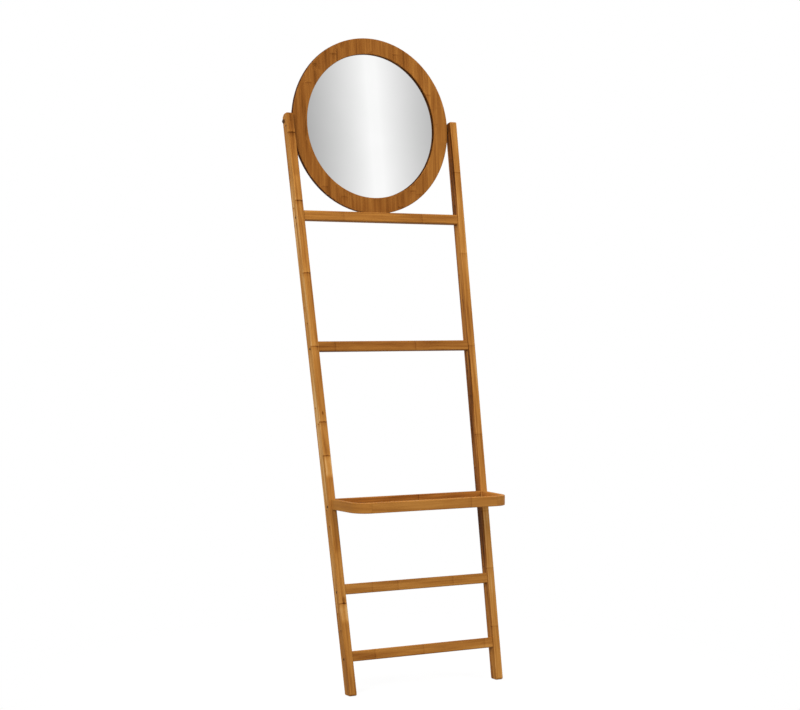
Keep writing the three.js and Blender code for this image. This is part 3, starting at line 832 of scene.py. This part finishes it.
def make_camera():
    """The photograph's camera. Returns the way that it looks."""
    data = bpy.data.cameras.new("camera")
    camera = bpy.data.objects.new("camera", data)
    bpy.context.scene.collection.objects.link(camera)
    data.sensor_fit = "HORIZONTAL"
    data.lens = data.sensor_width * FOCAL_PIXELS / IMAGE_WIDTH
    forward = Vector((
        math.sin(CAMERA_YAW) * math.cos(CAMERA_PITCH),
        math.cos(CAMERA_YAW) * math.cos(CAMERA_PITCH),
        -math.sin(CAMERA_PITCH),
    ))
    turn = (
        Matrix.Rotation(-CAMERA_YAW, 4, "Z")
        @ Matrix.Rotation(math.pi / 2 - CAMERA_PITCH, 4, "X")
        @ Matrix.Rotation(CAMERA_ROLL, 4, "Z")
    )
    place = Vector(CAMERA_TARGET) - forward * CAMERA_DISTANCE
    camera.matrix_world = Matrix.Translation(place) @ turn
    bpy.context.scene.camera = camera
    return forward


def staged_plane(name, material, size, place):
    bpy.ops.mesh.primitive_plane_add(size=size, location=place)
    plane = bpy.context.object
    plane.name = name
    plane.data.materials.append(material)
    return plane


def make_floor():
    """A pale floor that fades to plain white well away from the stand."""
    t = Tree("pale_floor")
    path = t.node("ShaderNodeLightPath")
    diffuse = t.node("ShaderNodeBsdfDiffuse")
    grey = t.remap(path.outputs["Is Diffuse Ray"], 0.0, 1.0, FLOOR_GREY, FLOOR_GREY_AS_LIGHT)
    t.feed(diffuse.inputs["Color"], t.combine(grey, grey, grey))
    level = t.remap(path.outputs["Is Glossy Ray"], 0.0, 1.0, 1.0, REFLECTED_WHITE)
    whiteness = t.remap(t.length(t.place()), *FLOOR_FADE, *FLOOR_WHITENESS, smooth=True)
    seen = t.math("MAXIMUM", path.outputs["Is Camera Ray"], path.outputs["Is Glossy Ray"])
    mixed = t.node("ShaderNodeMixShader")
    t.feed(mixed.inputs[0], t.math("MULTIPLY", whiteness, seen))
    t.feed(mixed.inputs[1], diffuse.outputs[0])
    t.feed(mixed.inputs[2], t.glow(level))
    material = t.finish(mixed.outputs[0])
    staged_plane("floor", material, FLOOR_SIZE, (0.0, 0.0, -FLOOR_DROP))


def make_world():
    """White to the camera, a little grey in reflections and softer as a light."""
    world = bpy.data.worlds.new("studio")
    bpy.context.scene.world = world
    world.use_nodes = True
    nodes = world.node_tree.nodes
    links = world.node_tree.links
    path = nodes.new("ShaderNodeLightPath")
    background = nodes["Background"]
    background.inputs["Color"].default_value = (1.0, 1.0, 1.0, 1.0)
    strength = background.inputs["Strength"]
    for ray, level in (
        ("Is Transmission Ray", 1.0), ("Is Camera Ray", 1.0), ("Is Glossy Ray", REFLECTED_WHITE)
    ):
        choice = nodes.new("ShaderNodeMix")
        links.new(choice.outputs[0], strength)
        links.new(path.outputs[ray], choice.inputs[0])
        choice.inputs[3].default_value = level
        strength = choice.inputs[2]
    strength.default_value = AMBIENT_STRENGTH


def make_lamps():
    for name, (place, power, size) in LAMPS.items():
        data = bpy.data.lights.new(name, "AREA")
        data.shape = "SQUARE"
        data.size = size
        data.energy = power
        lamp = bpy.data.objects.new(name, data)
        bpy.context.scene.collection.objects.link(lamp)
        lamp.location = place
        aim = Vector(LAMP_AIM) - Vector(place)
        lamp.rotation_euler = aim.to_track_quat("-Z", "Y").to_euler()
        lamp.visible_glossy = False
        lamp.visible_camera = False


def make_reflected_panel(forward):
    """A soft light panel that only reflections show, where the camera sees it in the mirror."""
    looked_at = forward.reflect(MIRROR_TURN @ Vector((0.0, -1.0, 0.0)))
    t = Tree("reflected_panel")
    x, _, _ = t.split(t.place())
    beyond = t.math("SUBTRACT", t.math("ABSOLUTE", x), PANEL_BRIGHT_HALF)
    aside = t.math("MAXIMUM", beyond, 0.0)
    falling = t.math("MULTIPLY_ADD", aside, -PANEL_FALL_PER_METRE, 1.0)
    shown = t.math("MAXIMUM", falling, PANEL_DIMMEST)
    material = t.finish(t.glow(t.math("POWER", shown, PANEL_EXPONENT)))
    place = middle("mirror_glass") + looked_at * PANEL_DISTANCE
    panel = staged_plane("reflected_panel", material, PANEL_SIZE, place)
    panel.rotation_euler = looked_at.to_track_quat("Z", "Y").to_euler()
    panel.visible_camera = False
    panel.visible_diffuse = False
    panel.visible_shadow = False
    panel.visible_transmission = False


forward = make_camera()
make_rails()
make_rungs()
make_tray()
make_mirror()
make_fasteners()
make_floor()
make_world()
make_lamps()
make_reflected_panel(forward)
bpy.context.scene.view_settings.view_transform = "Standard"
